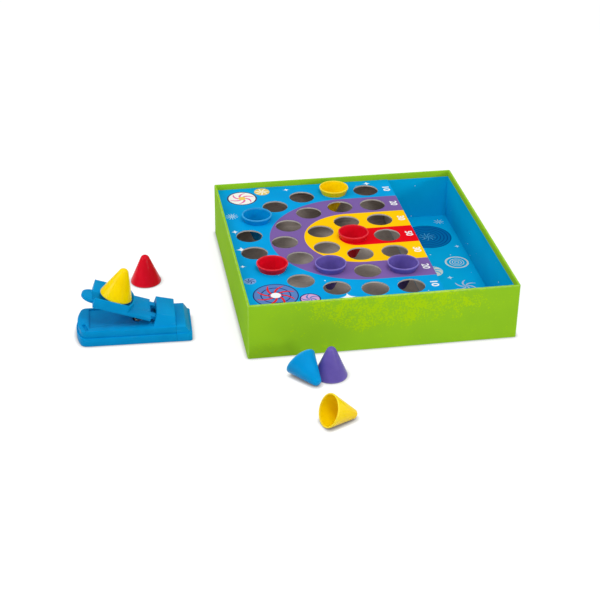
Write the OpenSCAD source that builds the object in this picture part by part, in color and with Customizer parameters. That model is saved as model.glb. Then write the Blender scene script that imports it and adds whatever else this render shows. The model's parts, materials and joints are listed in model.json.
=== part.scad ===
// Catapult board game: a shallow square box with a raised target board and a
// well beside it, a spring catapult, and eleven hollow plastic cones.
// Millimetres, +Z up. The origin is the middle of the box's underside.

/* [Box] */
// Outer length of the box, left to right
box_l = 270; // [250:1:320]
// Outer width of the box, front to back
box_w = 270; // [255:1:320]
// Outer height of the box
box_h = 59; // [52:0.5:80]
// Thickness of the box's greyboard
card_t = 1.8; // [1.2:0.1:2.6]
// Thickness of each printed sheet
paper_t = 0.3; // [0.2:0.05:0.4]
// Outer radius of the box's upright edges
box_edge_r = 1.6; // [1:0.1:3]
// Depth of the wrap's turned-in band below the rim
turn_in = 7; // [4:0.5:12]

/* [Target board] */
// Depth of the board's face below the box's rim
board_drop = 6; // [3:0.5:12]
// Length of the board, left to right
board_l = 194; // [180:0.5:215]
// Thickness of the board's folded card
board_t = 1.5; // [1:0.1:2.2]
// Clearance between the board and the box round it
board_gap = 0.4; // [0.3:0.1:1]
// Diameter of a cone hole
hole_d = 27.5; // [26:0.1:30]
// Distance between the rings of holes, and between their columns
hole_pitch = 36.2; // [34:0.1:38]
// Distance from the middle hole to the board's right edge
pattern_edge = 66.5; // [60:0.5:75]

/* [Cones] */
// Diameter of a cone's rim
cone_d = 32; // [30.5:0.1:34]
// Height of a cone
cone_h = 31; // [26:0.5:36]
// Radius of a cone's rounded tip
tip_r = 5; // [3:0.1:6]
// Wall of a cone
cone_wall = 1.2; // [0.8:0.1:1.8]
// Height of the upright lip round a cone's rim
lip_h = 1.2; // [1:0.1:3]
// Clearance round a cone that hangs in a hole or stands in the pocket
cone_gap = 0.2; // [0.1:0.05:0.5]

/* [Catapult base] */
// Length of the base without the bulge of its left end
base_l = 108; // [105:1:130]
// Width of the base, front to back
base_w = 49.5; // [46:0.5:60]
// How far the base's left end bulges
base_bulge = 5.6; // [3:0.1:8]
// Radius of the base's left corners
base_corner_r = 7; // [6:0.5:10]
// Height of the lower tray
tray_h = 8.5; // [8:0.25:10]
// Height of the base's deck
deck_z = 15.75; // [15:0.25:20]
// Width of the step from the tray to the shell on it
tier_step = 1.5; // [1:0.1:2]
// Wall of the tray
tray_wall = 2.6; // [2.2:0.1:3]
// Wall of the shell and of the end cap
shell_wall = 2.2; // [1.8:0.1:2.6]
// Thickness of the tray's floor
floor_t = 1.6; // [1.2:0.1:2.4]
// Thickness of the deck
deck_t = 2; // [1.5:0.1:2.4]
// Depth of the recess under the arm
recess_depth = 1.25; // [1:0.25:1.5]
// Width of the deck left in front of the recess
recess_rim = 9.5; // [8:0.5:12]
// Length of the end cap
cap_l = 15.5; // [12:0.5:18]
// Clearance between mouldings that fit into each other
fit_gap = 0.2; // [0.1:0.05:0.4]

/* [Hinge and arm] */
// Distance from the base's left end to the hinge pin
hinge_x = 77; // [75:0.5:80]
// Height of the hinge housing above the deck
housing_h = 12; // [11:0.5:14]
// Diameter of the hinge pin
pin_d = 3; // [2:0.1:3.4]
// Radial running clearance of the pin
pin_gap = 0.05; // [0.02:0.01:0.1]
// Radius of the arm's hinge barrels
barrel_r = 3.8; // [3.2:0.1:4.4]
// Tilt of the arm at rest
arm_tilt = 19.4; // [12:0.1:22]
// Width of the arm
arm_w = 38; // [34:0.5:40]
// Distance from the hinge pin to the arm's left end
arm_reach = 69; // [67:0.5:72]
// Thickness of the arm's plate
plate_t = 3.4; // [3:0.1:5]
// Height of the pocket block's lips
lip_v = 10.5; // [9:0.5:13]
// Depth of the pocket
pocket_depth = 9; // [6:0.5:10]
// Width of the pocket at its lips
pocket_w = 35; // [33.5:0.5:36]
// Length of the pocket along its lips
pocket_l = 33.5; // [30:0.5:36]
// How far the pocket's end wall bulges
pocket_bulge = 5.5; // [3:0.5:8]
// Wall of the arm
arm_wall = 1.5; // [1.2:0.1:2]
// Radius of the finger tab
tab_r = 10.8; // [8:0.1:12]
// Thickness of the finger tab
tab_t = 3; // [2:0.1:3.5]

/* [Spring and screws] */
// Outer diameter of the return spring
spring_d = 9; // [7:0.1:10]
// Diameter of the spring's wire
wire_d = 0.9; // [0.6:0.1:1.1]
// Turns of the spring
spring_turns = 7; // [5:1:9]
// Distance from the hinge pin to the spring
spring_reach = 20.5; // [18:0.5:24]
// Diameter of a screw's shank
screw_d = 2.6; // [2:0.1:3]
// Diameter of a screw's head
screw_head_d = 5.2; // [4.5:0.1:6]
// Length of a screw
screw_l = 8; // [7:0.5:9]

/* [Places on the table] */
// Left end of the catapult's base, left to right
catapult_x = -292.1; // [-320:0.1:-285]
// Front face of the catapult's base, front to back
catapult_y = -89; // [-110:0.5:-60]
// Turn of the catapult seen from above
catapult_turn = -2.2; // [-6:0.1:6]
// Middle of the standing red cone
red_place = [-220.8, 34.2];
// Middle of the standing purple cone
purple_place = [-60.7, -174.3];
// Middle of the lying yellow cone's mouth
yellow_place = [-78.4, -254.5];
// Turn of the lying yellow cone
yellow_turn = 15; // [5:1:25]
// Middle of the lying blue cone's mouth
blue_place = [-89.5, -168.8];
// Turn of the lying blue cone
blue_turn = -61; // [-66:1:-58]

/* [Hidden] */
$fn = 64;

box_green = [0.54, 0.75, 0.13];
card_grey = [0.62, 0.57, 0.52];
print_blue = [0.0, 0.62, 0.89];
plastic_blue = [0.0, 0.52, 0.80];
cone_red = [0.86, 0.06, 0.15];
cone_yellow = [1.0, 0.84, 0.0];
cone_purple = [0.38, 0.30, 0.64];
cone_blue = [0.0, 0.58, 0.88];

over = 1;
flat_seat = 0.2;
card_z = paper_t;
floor_z = card_z + card_t;
rim_z = box_h - paper_t;
inner_l = box_l - 2 * (paper_t + card_t);
inner_w = box_w - 2 * (paper_t + card_t);
board_z = box_h - board_drop;
board_x0 = paper_t + board_gap - inner_l / 2;
board_x1 = board_x0 + board_l;
board_y1 = inner_w / 2 - paper_t - board_gap;
leg_z = floor_z + paper_t + flat_seat;
pattern_x = board_x1 - pattern_edge;
liner_x0 = board_x1 - board_t;

ring_count = 3;
straight_rows = [for (k = [-ring_count:ring_count]) k];
ring_holes = [for (k = [1:ring_count], a = [0:3 * k]) ring_place(k, a)];
column_holes = [for (k = straight_rows) [pattern_x + hole_pitch, k * hole_pitch]];
holes = concat([[pattern_x, 0]], ring_holes, column_holes);

cone_r = cone_d / 2;
tip_z = cone_h - tip_r;
side_rise = tip_z - lip_h;
side_angle = acos(tip_r / norm([cone_r, side_rise])) - atan2(side_rise, cone_r);
edge_r = 0.45 * cone_wall;
hang_z = board_z + lip_h + (cone_r - hole_d / 2 + cone_gap) / tan(side_angle);

base_mid = base_w / 2;
bulge_r = (pow(base_w / 2, 2) + pow(base_bulge, 2)) / (2 * base_bulge);
bulge_x = bulge_r - base_bulge;
corner_y = base_corner_r;
bulge_half = asin((base_mid - corner_y) / (bulge_r - base_corner_r));
corner_x = bulge_x - (bulge_r - base_corner_r) * cos(bulge_half);
cap_x = base_l - cap_l;
shell_in = tier_step + shell_wall;
cap_corner_r = 3;
cap_slope = 5;
seam = 0.15;
recess_left = 7;
recess_back = 4;
notch_x = 3.6;
notch_y = 10.5;
notch_l = 13;
notch_w = 3.4;
notch_depth = 2;
notch_turn = -72;
plug_l = 4;
plug_wall = 1.6;
cap_web = 1.2;
plug_top = deck_z - deck_t;
lip_drop = 2;
lip_wall = 0.75;
lip_end_gap = 1;
hinge_lift = 2.25;
hinge_z = deck_z + hinge_lift;
housing_x0 = hinge_x - 7;
housing_x1 = cap_x - 0.5;
high_x0 = hinge_x - 10;
high_in = shell_in + 0.5;
housing_lean = 4.5;
housing_drop = 4.2;
housing_front = 5;
housing_lap = 1;
housing_y0 = base_mid - arm_w / 2 - housing_lap;
housing_y1 = base_mid + arm_w / 2;
cavity_y0 = housing_y0 + 6;
cavity_y1 = housing_y1 - 4;
cavity_x0 = hinge_x - barrel_r - 1.2;
cavity_x1 = hinge_x + barrel_r + 1.2;
cavity_top = hinge_z + barrel_r + 0.9;
window_x1 = hinge_x - 1.5;
window_top = hinge_z + barrel_r + 2.3;
window_z = deck_z - 0.3;
pin_y0 = housing_y0 + 3;
pin_end_gap = 0.5;
lug_w = 7;
lug_y0 = cavity_y0 + 0.5;
lug_y1 = cavity_y1 - 0.5;
lug_t = 3.5;
plate_end = 10.6;
hollow_u = plate_end + 3.4;
lug_l = hollow_u - 1;
pocket_web = 2;
pad_drop = 0.5;
pad_rim = 0.8;
tab_out = 0.5;
spring_x = hinge_x - spring_reach;
spring_seat_z = 5;
spring_top_z = hinge_z + (spring_reach - spring_d / 2) * tan(arm_tilt) - 0.4;
well_r = spring_d / 2 + 2;
spigot_r = spring_d / 2 - wire_d - 1;
spigot_l = 3;
post_r = screw_d / 2 + 1.9;
post_x = [5, hinge_x - 11.5];
post_y = [base_mid - 12, base_mid + 12];
post_z = 4.2;
boss_z = post_z - fit_gap;
head_z = 0.5;
head_t = 1.7;
pocket_r = (pow(pocket_w / 2, 2) + pow(pocket_depth, 2)) / (2 * pocket_depth);
pocket_v = lip_v - pocket_depth + pocket_r;
pocket_u = arm_reach - pocket_l;
arc_r = (pow(pocket_w / 2, 2) + pow(pocket_bulge, 2)) / (2 * pocket_bulge);
hollow_l = pocket_u - pocket_bulge - pocket_web - hollow_u;
loaded_gap = 1.5;
loaded_u = pocket_u + cone_r - pocket_bulge + loaded_gap;
loaded_v = pocket_v - sqrt(pow(pocket_r, 2) - pow(cone_r + cone_gap, 2));

function ring_place(k, a) =
  let (turn = 90 - 180 * a / (3 * k))
  [pattern_x - k * hole_pitch * cos(turn), k * hole_pitch * sin(turn)];

// A rectangle with round corners, centred
module round_rect(l, w, r) {
  square([l - 2 * r, w], center = true);
  square([l, w - 2 * r], center = true);
  for (x = [-1, 1], y = [-1, 1])
    translate([x * (l / 2 - r), y * (w / 2 - r)]) circle(r);
}

// Greyboard tray of the box
module box_board() {
  color(card_grey) difference() {
    translate([0, 0, card_z]) linear_extrude(rim_z - card_z)
      round_rect(box_l - 2 * paper_t, box_w - 2 * paper_t, box_edge_r - paper_t);
    translate([-inner_l / 2, -inner_w / 2, floor_z]) cube([inner_l, inner_w, box_h]);
  }
}

// Printed wrap: four sides, over the rim and down inside as a band
module box_wrap() {
  color(box_green) {
    difference() {
      linear_extrude(box_h) round_rect(box_l, box_w, box_edge_r);
      translate([0, 0, -over]) linear_extrude(rim_z + over)
        round_rect(box_l - 2 * paper_t, box_w - 2 * paper_t, box_edge_r - paper_t);
      translate([0, 0, box_h / 2]) linear_extrude(box_h)
        square([inner_l, inner_w], center = true);
    }
    translate([0, 0, box_h - turn_in]) linear_extrude(turn_in) difference() {
      square([inner_l, inner_w], center = true);
      square([inner_l - 2 * paper_t, inner_w - 2 * paper_t], center = true);
    }
  }
}

// Sheet glued under the box
module bottom_sheet() {
  color(box_green) linear_extrude(paper_t)
    round_rect(box_l - 2 * paper_t, box_w - 2 * paper_t, box_edge_r - paper_t);
}

// Printed sheet on the well's floor and up its three walls
module well_liner() {
  liner_l = inner_l / 2 - liner_x0;
  liner_h = box_h - turn_in - floor_z;
  color(print_blue) difference() {
    translate([liner_x0, -inner_w / 2, floor_z]) cube([liner_l, inner_w, liner_h]);
    translate([liner_x0 - over, paper_t - inner_w / 2, floor_z + paper_t])
      cube([liner_l + over - paper_t, inner_w - 2 * paper_t, liner_h]);
    translate([liner_x0 - over, -inner_w / 2 - over, floor_z + paper_t])
      cube([board_x1 + board_gap - liner_x0 + over, inner_w + 2 * over, liner_h]);
  }
}

// Every cone hole as a cutting cylinder through a sheet between z0 and z1
module hole_cuts(z0, z1) {
  for (place = holes)
    translate([place[0], place[1], z0 - over]) cylinder(h = z1 - z0 + 2 * over, d = hole_d);
}

// Folded card: the target board's panel and its left and right legs
module board_insert() {
  top = board_z - paper_t;
  color(card_grey) difference() {
    translate([board_x0, -board_y1, leg_z]) cube([board_l, 2 * board_y1, top - leg_z]);
    translate([board_x0 + board_t, -board_y1 - over, leg_z - over])
      cube([board_l - 2 * board_t, 2 * (board_y1 + over), top - board_t - leg_z + over]);
    hole_cuts(top - board_t, top);
  }
}

// Printed sheet on the target board
module board_print() {
  color(print_blue) difference() {
    translate([board_x0, -board_y1, board_z - paper_t])
      cube([board_l, 2 * board_y1, paper_t]);
    hole_cuts(board_z - paper_t, board_z);
  }
}

// Side and tip of a cone, drawn inwards by a wall
module cone_form(wall) {
  r = tip_r - wall;
  foot_r = cone_r - wall / cos(side_angle);
  translate([0, 0, lip_h])
    cylinder(h = side_rise + r * sin(side_angle), r1 = foot_r, r2 = r * cos(side_angle));
  translate([0, 0, tip_z]) sphere(r);
}

// One hollow cone, mouth down on z = 0, with a rounded lip
module cone() {
  difference() {
    union() {
      cone_form(0);
      translate([0, 0, edge_r]) cylinder(h = lip_h - edge_r, r = cone_r);
      cylinder(h = lip_h, r = cone_r - edge_r);
      rotate_extrude() translate([cone_r - edge_r, edge_r]) circle(edge_r, $fn = 24);
    }
    cone_form(cone_wall);
    translate([0, 0, -over])
      cylinder(h = lip_h + over, r = cone_r - cone_wall / cos(side_angle));
  }
}

// A cone hanging tip down in the hole at a place
module hung_cone(place) {
  translate([place[0], place[1], hang_z]) rotate([180, 0, 0]) cone();
}

// A cone lying on its side, its tip turned away from its mouth's middle
module lying_cone(place, turn) {
  translate([place[0], place[1], cone_r * cos(side_angle) + lip_h * sin(side_angle)])
    rotate([0, 90 + side_angle, turn]) cone();
}

// Everything of the catapult stands in its own frame
module at_catapult() {
  translate([catapult_x, catapult_y, 0]) rotate(catapult_turn) children();
}

// The arm's frame: x runs from the pin to the arm's tip, z is square to the arm
module at_arm() {
  at_catapult() translate([hinge_x, base_mid, hinge_z])
    rotate([0, arm_tilt, 0]) mirror([1, 0, 0]) children();
}

// Points of an arc about a centre, without the first and last few
function arc_points(mid, r, a0, a1, steps, skip) =
  [for (k = [skip:steps - skip]) let (a = a0 + (a1 - a0) * k / steps)
    [mid[0] + r * cos(a), mid[1] + r * sin(a)]];

// Plan of the base drawn inwards, from its bulged left end to x1
module base_plan(inset, x1) {
  r = base_corner_r - inset;
  polygon(concat(
    arc_points([corner_x, corner_y], r, 270, 180 + bulge_half, 8, 0),
    arc_points([bulge_x, base_mid], bulge_r - inset, 180 + bulge_half, 180 - bulge_half, 16, 1),
    arc_points([corner_x, base_w - corner_y], r, 180 - bulge_half, 90, 8, 0),
    [[x1, base_w - inset], [x1, inset]]
  ));
}

// Upright cylinders on the four screw places
module on_posts(z0, h, r) {
  for (x = post_x, y = post_y) translate([x, y, z0]) cylinder(h = h, r = r);
}

// Lower tray of the base with the spring's seat and the screw bosses
module catapult_tray() {
  color(plastic_blue) at_catapult() difference() {
    union() {
      difference() {
        linear_extrude(tray_h) base_plan(0, cap_x - seam);
        translate([0, 0, floor_t]) linear_extrude(tray_h) base_plan(tray_wall, base_l);
      }
      on_posts(0, boss_z, post_r);
      translate([spring_x, base_mid, 0]) cylinder(h = spring_seat_z, r = well_r);
      translate([spring_x, base_mid, 0]) cylinder(h = spring_seat_z + spigot_l, r = spigot_r);
    }
    on_posts(-over, boss_z + 2 * over, screw_d / 2 + fit_gap);
    on_posts(-over, head_z + head_t + over, screw_head_d / 2 + fit_gap);
  }
}

// Section of the hinge housing along the base
module housing_side() {
  polygon([
    [housing_x0, deck_z - over], [housing_x0, deck_z],
    [housing_x0 + housing_lean, deck_z + housing_h],
    [housing_x1, deck_z + housing_h - housing_drop], [housing_x1, deck_z - over]
  ]);
}

// Hinge housing: leaning left face, falling roof, sloping front
module housing() {
  intersection() {
    translate([0, base_w, 0]) rotate([90, 0, 0]) linear_extrude(base_w) housing_side();
    rotate([90, 0, 90]) linear_extrude(base_l) polygon([
      [housing_y0, deck_z - over], [housing_y0, deck_z],
      [housing_y0 + housing_front, deck_z + housing_h], [housing_y1, deck_z + housing_h],
      [housing_y1, deck_z - over]
    ]);
  }
}

// Upper shell of the base: walls, deck with its recess, hinge housing, posts
module catapult_shell() {
  color(plastic_blue) at_catapult() difference() {
    union() {
      difference() {
        translate([0, 0, tray_h]) linear_extrude(deck_z - tray_h)
          base_plan(tier_step, cap_x - seam);
        translate([0, 0, -over]) linear_extrude(deck_z - deck_t - recess_depth + over)
          base_plan(shell_in, base_l);
        translate([high_x0, high_in, tray_h - over])
          cube([base_l, base_w - 2 * high_in, plug_top - tray_h + over]);
      }
      translate([0, 0, tray_h - lip_drop]) linear_extrude(lip_drop + over) difference() {
        base_plan(tray_wall + fit_gap, cap_x - plug_l - lip_end_gap);
        base_plan(tray_wall + fit_gap + lip_wall, base_l);
      }
      housing();
      on_posts(post_z, deck_z - deck_t - recess_depth - post_z + over, post_r);
    }
    translate([recess_left, recess_rim, deck_z - recess_depth])
      cube([spring_x - recess_left, base_w - recess_rim - recess_back, recess_depth + over]);
    translate([spring_x, base_mid, tray_h]) cylinder(h = deck_z, r = well_r);
    translate([cavity_x0, cavity_y0, tray_h])
      cube([cavity_x1 - cavity_x0, cavity_y1 - cavity_y0, cavity_top - tray_h]);
    translate([housing_x0 - over, cavity_y0, window_z])
      cube([window_x1 - housing_x0 + over, cavity_y1 - cavity_y0, window_top - window_z]);
    translate([hinge_x, pin_y0 - pin_end_gap, hinge_z]) rotate([-90, 0, 0])
      cylinder(h = base_w, d = pin_d + 2 * pin_gap);
    on_posts(post_z - over, screw_l, screw_d / 2 + pin_gap);
    translate([notch_x, notch_y, deck_z - notch_depth]) rotate(notch_turn)
      translate([-notch_l / 2, -notch_w / 2, 0]) cube([notch_l, notch_w, notch_depth + over]);
  }
}

// End cap: both tiers in one moulding with a plug that enters the base
module end_cap() {
  color(plastic_blue) at_catapult() {
    difference() {
      union() {
        linear_extrude(tray_h) cap_plan(0);
        translate([0, 0, tray_h]) linear_extrude(deck_z - tray_h) cap_plan(tier_step);
      }
      translate([base_l - tier_step, -over, tray_h])
        rotate([0, -atan2(cap_slope, deck_z - tray_h), 0]) cube([base_w, base_w + 2 * over, base_w]);
      translate([cap_x + cap_web, shell_in, floor_t])
        cube([cap_l - cap_web - shell_in - cap_slope, base_w - 2 * shell_in, plug_top - floor_t]);
      plug_block(cap_x - over, cap_web + 2 * over, fit_gap + plug_wall);
    }
    difference() {
      plug_block(cap_x - plug_l, plug_l + cap_web, fit_gap);
      plug_block(cap_x - plug_l - over, plug_l + cap_web + 2 * over, fit_gap + plug_wall);
    }
  }
}

// Block that fills the base's open right end, drawn inwards
module plug_block(x0, l, inset) {
  translate([x0, high_in + inset, floor_t + inset])
    cube([l, base_w - 2 * (high_in + inset), plug_top - floor_t - 2 * inset]);
}

// Plan of the end cap drawn inwards, with its right corners rounded
module cap_plan(inset) {
  r = cap_corner_r - inset / 2;
  x1 = base_l - inset;
  y1 = base_w - inset;
  translate([cap_x, inset]) square([x1 - r - cap_x, y1 - inset]);
  translate([cap_x, inset + r]) square([x1 - cap_x, y1 - inset - 2 * r]);
  for (y = [inset + r, y1 - r]) translate([x1 - r, y]) circle(r);
}

// Hinge pin, pushed in from the back
module hinge_pin() {
  color("silver") at_catapult()
    translate([hinge_x, pin_y0, hinge_z]) rotate([-90, 0, 0])
      cylinder(h = housing_y1 - pin_y0, d = pin_d);
}

// Pocket seen from above, from its bulged end drawn outwards to a distance u1
module pocket_plan(extra, u1) {
  mid = pocket_u - pocket_bulge + arc_r;
  intersection() {
    translate([mid, 0]) circle(arc_r + extra, $fn = 128);
    translate([mid - arc_r - extra, -arm_w / 2]) square([arc_r, arm_w]);
  }
  translate([mid - extra - over, -arm_w / 2]) square([u1 - mid + extra + over, arm_w]);
}

// Launching arm: plate, pocket block, finger tab and two hinge barrels
module launch_arm() {
  color(plastic_blue) at_arm() {
    difference() {
      union() {
        translate([plate_end, -arm_w / 2, 0]) cube([arm_reach - plate_end, arm_w, plate_t]);
        linear_extrude(lip_v) pocket_plan(arm_wall, arm_reach);
        translate([arm_reach + tab_out, 0, 0]) cylinder(h = tab_t, r = tab_r);
      }
      intersection() {
        translate([0, 0, pocket_v]) rotate([0, 90, 0])
          cylinder(h = arm_reach + over, r = pocket_r, $fn = 128);
        translate([0, 0, -over]) linear_extrude(lip_v + 2 * over)
          pocket_plan(0, arm_reach + 2 * over);
      }
      difference() {
        translate([pocket_u, arm_wall - arm_w / 2, -over])
          cube([arm_reach - arm_wall - pocket_u, arm_w - 2 * arm_wall, lip_v - arm_wall + over]);
        translate([0, 0, pocket_v]) rotate([0, 90, 0])
          cylinder(h = arm_reach + over, r = pocket_r + arm_wall, $fn = 128);
      }
      translate([hollow_u, arm_wall - arm_w / 2, -over])
        cube([hollow_l, arm_w - 2 * arm_wall, plate_t - arm_wall + over]);
    }
    translate([spring_reach / cos(arm_tilt), 0, 0]) {
      cylinder(h = plate_t - pad_drop, r = spring_d / 2 + pad_rim);
      translate([0, 0, -spigot_l]) cylinder(h = spigot_l + over, r = spigot_r);
    }
    for (y = [lug_y0 - base_mid, lug_y1 - lug_w - base_mid]) translate([0, y, 0]) difference() {
      union() {
        rotate([-90, 0, 0]) cylinder(h = lug_w, r = barrel_r);
        cube([lug_l, lug_w, lug_t]);
      }
      translate([0, -over, 0]) rotate([-90, 0, 0])
        cylinder(h = lug_w + 2 * over, d = pin_d + 2 * pin_gap);
    }
  }
}

// A point of the spring's wire axis at a turn angle
function coil(a, r, z0, z1) =
  [r * cos(a), r * sin(a), z0 + (z1 - z0) * a / (360 * spring_turns)];

// Return spring standing under the arm
module return_spring() {
  r = (spring_d - wire_d) / 2;
  z0 = spring_seat_z + wire_d / 2 + flat_seat;
  z1 = spring_top_z - wire_d / 2;
  sides = 6;
  steps = spring_turns * 14;
  ring = [for (s = [0:steps], k = [0:sides - 1])
    let (a = s * 360 * spring_turns / steps, t = k * 360 / sides, c = coil(a, r, z0, z1))
    [c[0] + wire_d / 2 * cos(t) * cos(a), c[1] + wire_d / 2 * cos(t) * sin(a),
      c[2] + wire_d / 2 * sin(t)]];
  side_faces = [for (s = [0:steps - 1], k = [0:sides - 1], half = [0, 1])
    let (n = (k + 1) % sides, p = s * sides, q = p + sides)
    half == 0 ? [p + k, p + n, q + n] : [p + k, q + n, q + k]];
  ends = [for (k = [1:sides - 2], end = [0, 1])
    let (p = steps * sides) end == 0 ? [0, k + 1, k] : [p, p + k, p + k + 1]];
  color("silver") at_catapult() translate([spring_x, base_mid, 0])
    polyhedron(ring, concat(side_faces, ends));
}

// Four self-tapping screws that hold the tray to the shell
module case_screws() {
  color("silver") at_catapult() {
    on_posts(head_z, head_t, screw_head_d / 2);
    on_posts(head_z + head_t / 2, screw_l - head_t / 2, screw_d / 2);
  }
}

// The cones on the catapult and the table
module cone_yellow_loaded() {
  color(cone_yellow) at_arm() translate([loaded_u, 0, loaded_v]) cone();
}
module cone_yellow_lying() { color(cone_yellow) lying_cone(yellow_place, yellow_turn); }
module cone_blue_lying() { color(cone_blue) lying_cone(blue_place, blue_turn); }
module cone_red_standing() { color(cone_red) translate(red_place) cone(); }
module cone_purple_standing() { color(cone_purple) translate(purple_place) cone(); }

// The cones that landed in the board
module cone_yellow_back() { color(cone_yellow) hung_cone(ring_place(3, 0)); }
module cone_blue_left() { color(cone_blue) hung_cone(ring_place(3, 3)); }
module cone_red_left() { color(cone_red) hung_cone(ring_place(3, 6)); }
module cone_red_middle() { color(cone_red) hung_cone([pattern_x, 0]); }
module cone_purple_left() { color(cone_purple) hung_cone(ring_place(2, 5)); }
module cone_purple_right() {
  color(cone_purple) hung_cone([pattern_x + hole_pitch, -2 * hole_pitch]);
}

box_board();
box_wrap();
bottom_sheet();
well_liner();
board_insert();
board_print();
catapult_tray();
catapult_shell();
end_cap();
launch_arm();
hinge_pin();
return_spring();
case_screws();
cone_yellow_loaded();
cone_yellow_back();
cone_yellow_lying();
cone_red_standing();
cone_red_middle();
cone_red_left();
cone_purple_standing();
cone_purple_left();
cone_purple_right();
cone_blue_lying();
cone_blue_left();
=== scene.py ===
import bmesh
import bpy
import json
import math
from mathutils import Matrix, Vector

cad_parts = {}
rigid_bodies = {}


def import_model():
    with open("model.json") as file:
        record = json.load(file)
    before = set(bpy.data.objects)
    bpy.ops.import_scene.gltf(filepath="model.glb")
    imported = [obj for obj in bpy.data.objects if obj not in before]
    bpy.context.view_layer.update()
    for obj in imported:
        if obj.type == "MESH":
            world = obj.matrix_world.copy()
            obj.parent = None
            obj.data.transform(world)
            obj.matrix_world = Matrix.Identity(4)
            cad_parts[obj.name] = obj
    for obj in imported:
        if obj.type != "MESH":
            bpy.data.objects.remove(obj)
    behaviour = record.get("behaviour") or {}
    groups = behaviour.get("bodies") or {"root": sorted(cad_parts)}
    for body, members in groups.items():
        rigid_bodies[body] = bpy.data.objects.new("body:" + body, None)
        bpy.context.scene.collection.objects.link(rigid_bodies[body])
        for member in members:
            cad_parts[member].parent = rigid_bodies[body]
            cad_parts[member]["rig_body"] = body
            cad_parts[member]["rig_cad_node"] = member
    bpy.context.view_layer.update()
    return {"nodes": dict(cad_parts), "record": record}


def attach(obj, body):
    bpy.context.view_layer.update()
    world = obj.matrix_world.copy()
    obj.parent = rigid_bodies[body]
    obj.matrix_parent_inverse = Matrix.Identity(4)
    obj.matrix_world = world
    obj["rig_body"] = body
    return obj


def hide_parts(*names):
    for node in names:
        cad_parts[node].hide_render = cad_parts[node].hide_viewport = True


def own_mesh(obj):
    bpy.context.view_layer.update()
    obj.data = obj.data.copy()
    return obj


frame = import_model()
nodes = frame["nodes"]

# Camera and studio
# A long lens looks down at the game from the left of its front. Everything stands on
# a white table under a sky that is bright overhead, with a soft lamp above the front, a
# low one at the front right for the streaks on the cones and a broad one at the left.
view_turn = math.radians(-10.067)
view_rise = math.radians(30.231)
view_roll = math.radians(0.695)
lens = bpy.data.cameras.new("photo_camera")
lens.sensor_width = 36
lens.lens = 84.7044
lens.clip_start = 0.05
lens.clip_end = 30
camera = bpy.data.objects.new("photo_camera", lens)
bpy.context.scene.collection.objects.link(camera)
camera.matrix_world = (
    Matrix.Translation((-0.287659, -1.279774, 0.739304))
    @ Matrix.Rotation(view_turn, 4, "Z")
    @ Matrix.Rotation(math.pi / 2 - view_rise, 4, "X")
    @ Matrix.Rotation(view_roll, 4, "Z")
)
bpy.context.scene.camera = camera
bpy.context.scene.view_settings.view_transform = "Standard"


def wire(tree, kind, feeds, **settings):
    """Adds a shader node, sets it up and joins what feeds it."""
    made = tree.nodes.new(kind)
    for key, value in settings.items():
        setattr(made, key, value)
    for key, value in feeds.items():
        if isinstance(value, bpy.types.NodeSocket):
            tree.links.new(value, made.inputs[key])
        else:
            made.inputs[key].default_value = value
    return made


def calc(tree, operation, first, second=0.0, third=0.0):
    """One step of arithmetic between shader values."""
    feeds = {0: first, 1: second, 2: third}
    return wire(tree, "ShaderNodeMath", feeds, operation=operation).outputs[0]


def ink(red, green, blue):
    """A colour as a print shop writes it, 0 to 255, made linear."""
    linear = []
    for level in (red, green, blue):
        share = level / 255
        linear.append(share / 12.92 if share < 0.04045 else ((share + 0.055) / 1.055) ** 2.4)
    return (*linear, 1.0)


def aim(thing, target):
    """Turns a lamp towards a point."""
    thing.rotation_euler = (Vector(target) - thing.location).to_track_quat("-Z", "Y").to_euler()


sky = bpy.data.worlds.new("pale_sky")
bpy.context.scene.world = sky
sky.use_nodes = True
sky_tree = sky.node_tree
sky_tree.nodes.clear()
sky_rays = sky_tree.nodes.new("ShaderNodeLightPath")
sky_seen = calc(
    sky_tree, "MAXIMUM", sky_rays.outputs["Is Camera Ray"], sky_rays.outputs["Is Transmission Ray"]
)
sky_way = sky_tree.nodes.new("ShaderNodeTexCoord").outputs["Generated"]
sky_up = calc(sky_tree, "MAXIMUM", wire(sky_tree, "ShaderNodeSeparateXYZ", {0: sky_way}).outputs[2], 0.0)
sky_lit = calc(sky_tree, "MULTIPLY_ADD", sky_up, 0.7, 0.15)
sky_power = wire(sky_tree, "ShaderNodeMapRange", {"Value": sky_seen, "To Min": sky_lit, "To Max": 1.0})
sky_glow = wire(sky_tree, "ShaderNodeBackground", {"Color": (1, 1, 1, 1), "Strength": sky_power.outputs[0]})
wire(sky_tree, "ShaderNodeOutputWorld", {"Surface": sky_glow.outputs[0]})

for lamp_name, lamp_place, lamp_size, lamp_watts in (
    ("key_lamp", (0.1, -1.1, 2.0), 0.6, 15),
    ("right_lamp", (1.2, -1.55, 0.55), 0.3, 9),
    ("left_lamp", (-1.8, -0.3, 1.0), 1.0, 13),
):
    lamp_data = bpy.data.lights.new(lamp_name, "AREA")
    lamp_data.size = lamp_size
    lamp_data.energy = lamp_watts
    lamp = bpy.data.objects.new(lamp_name, lamp_data)
    bpy.context.scene.collection.objects.link(lamp)
    lamp.location = lamp_place
    aim(lamp, (-0.05, -0.05, 0.02))

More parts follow.
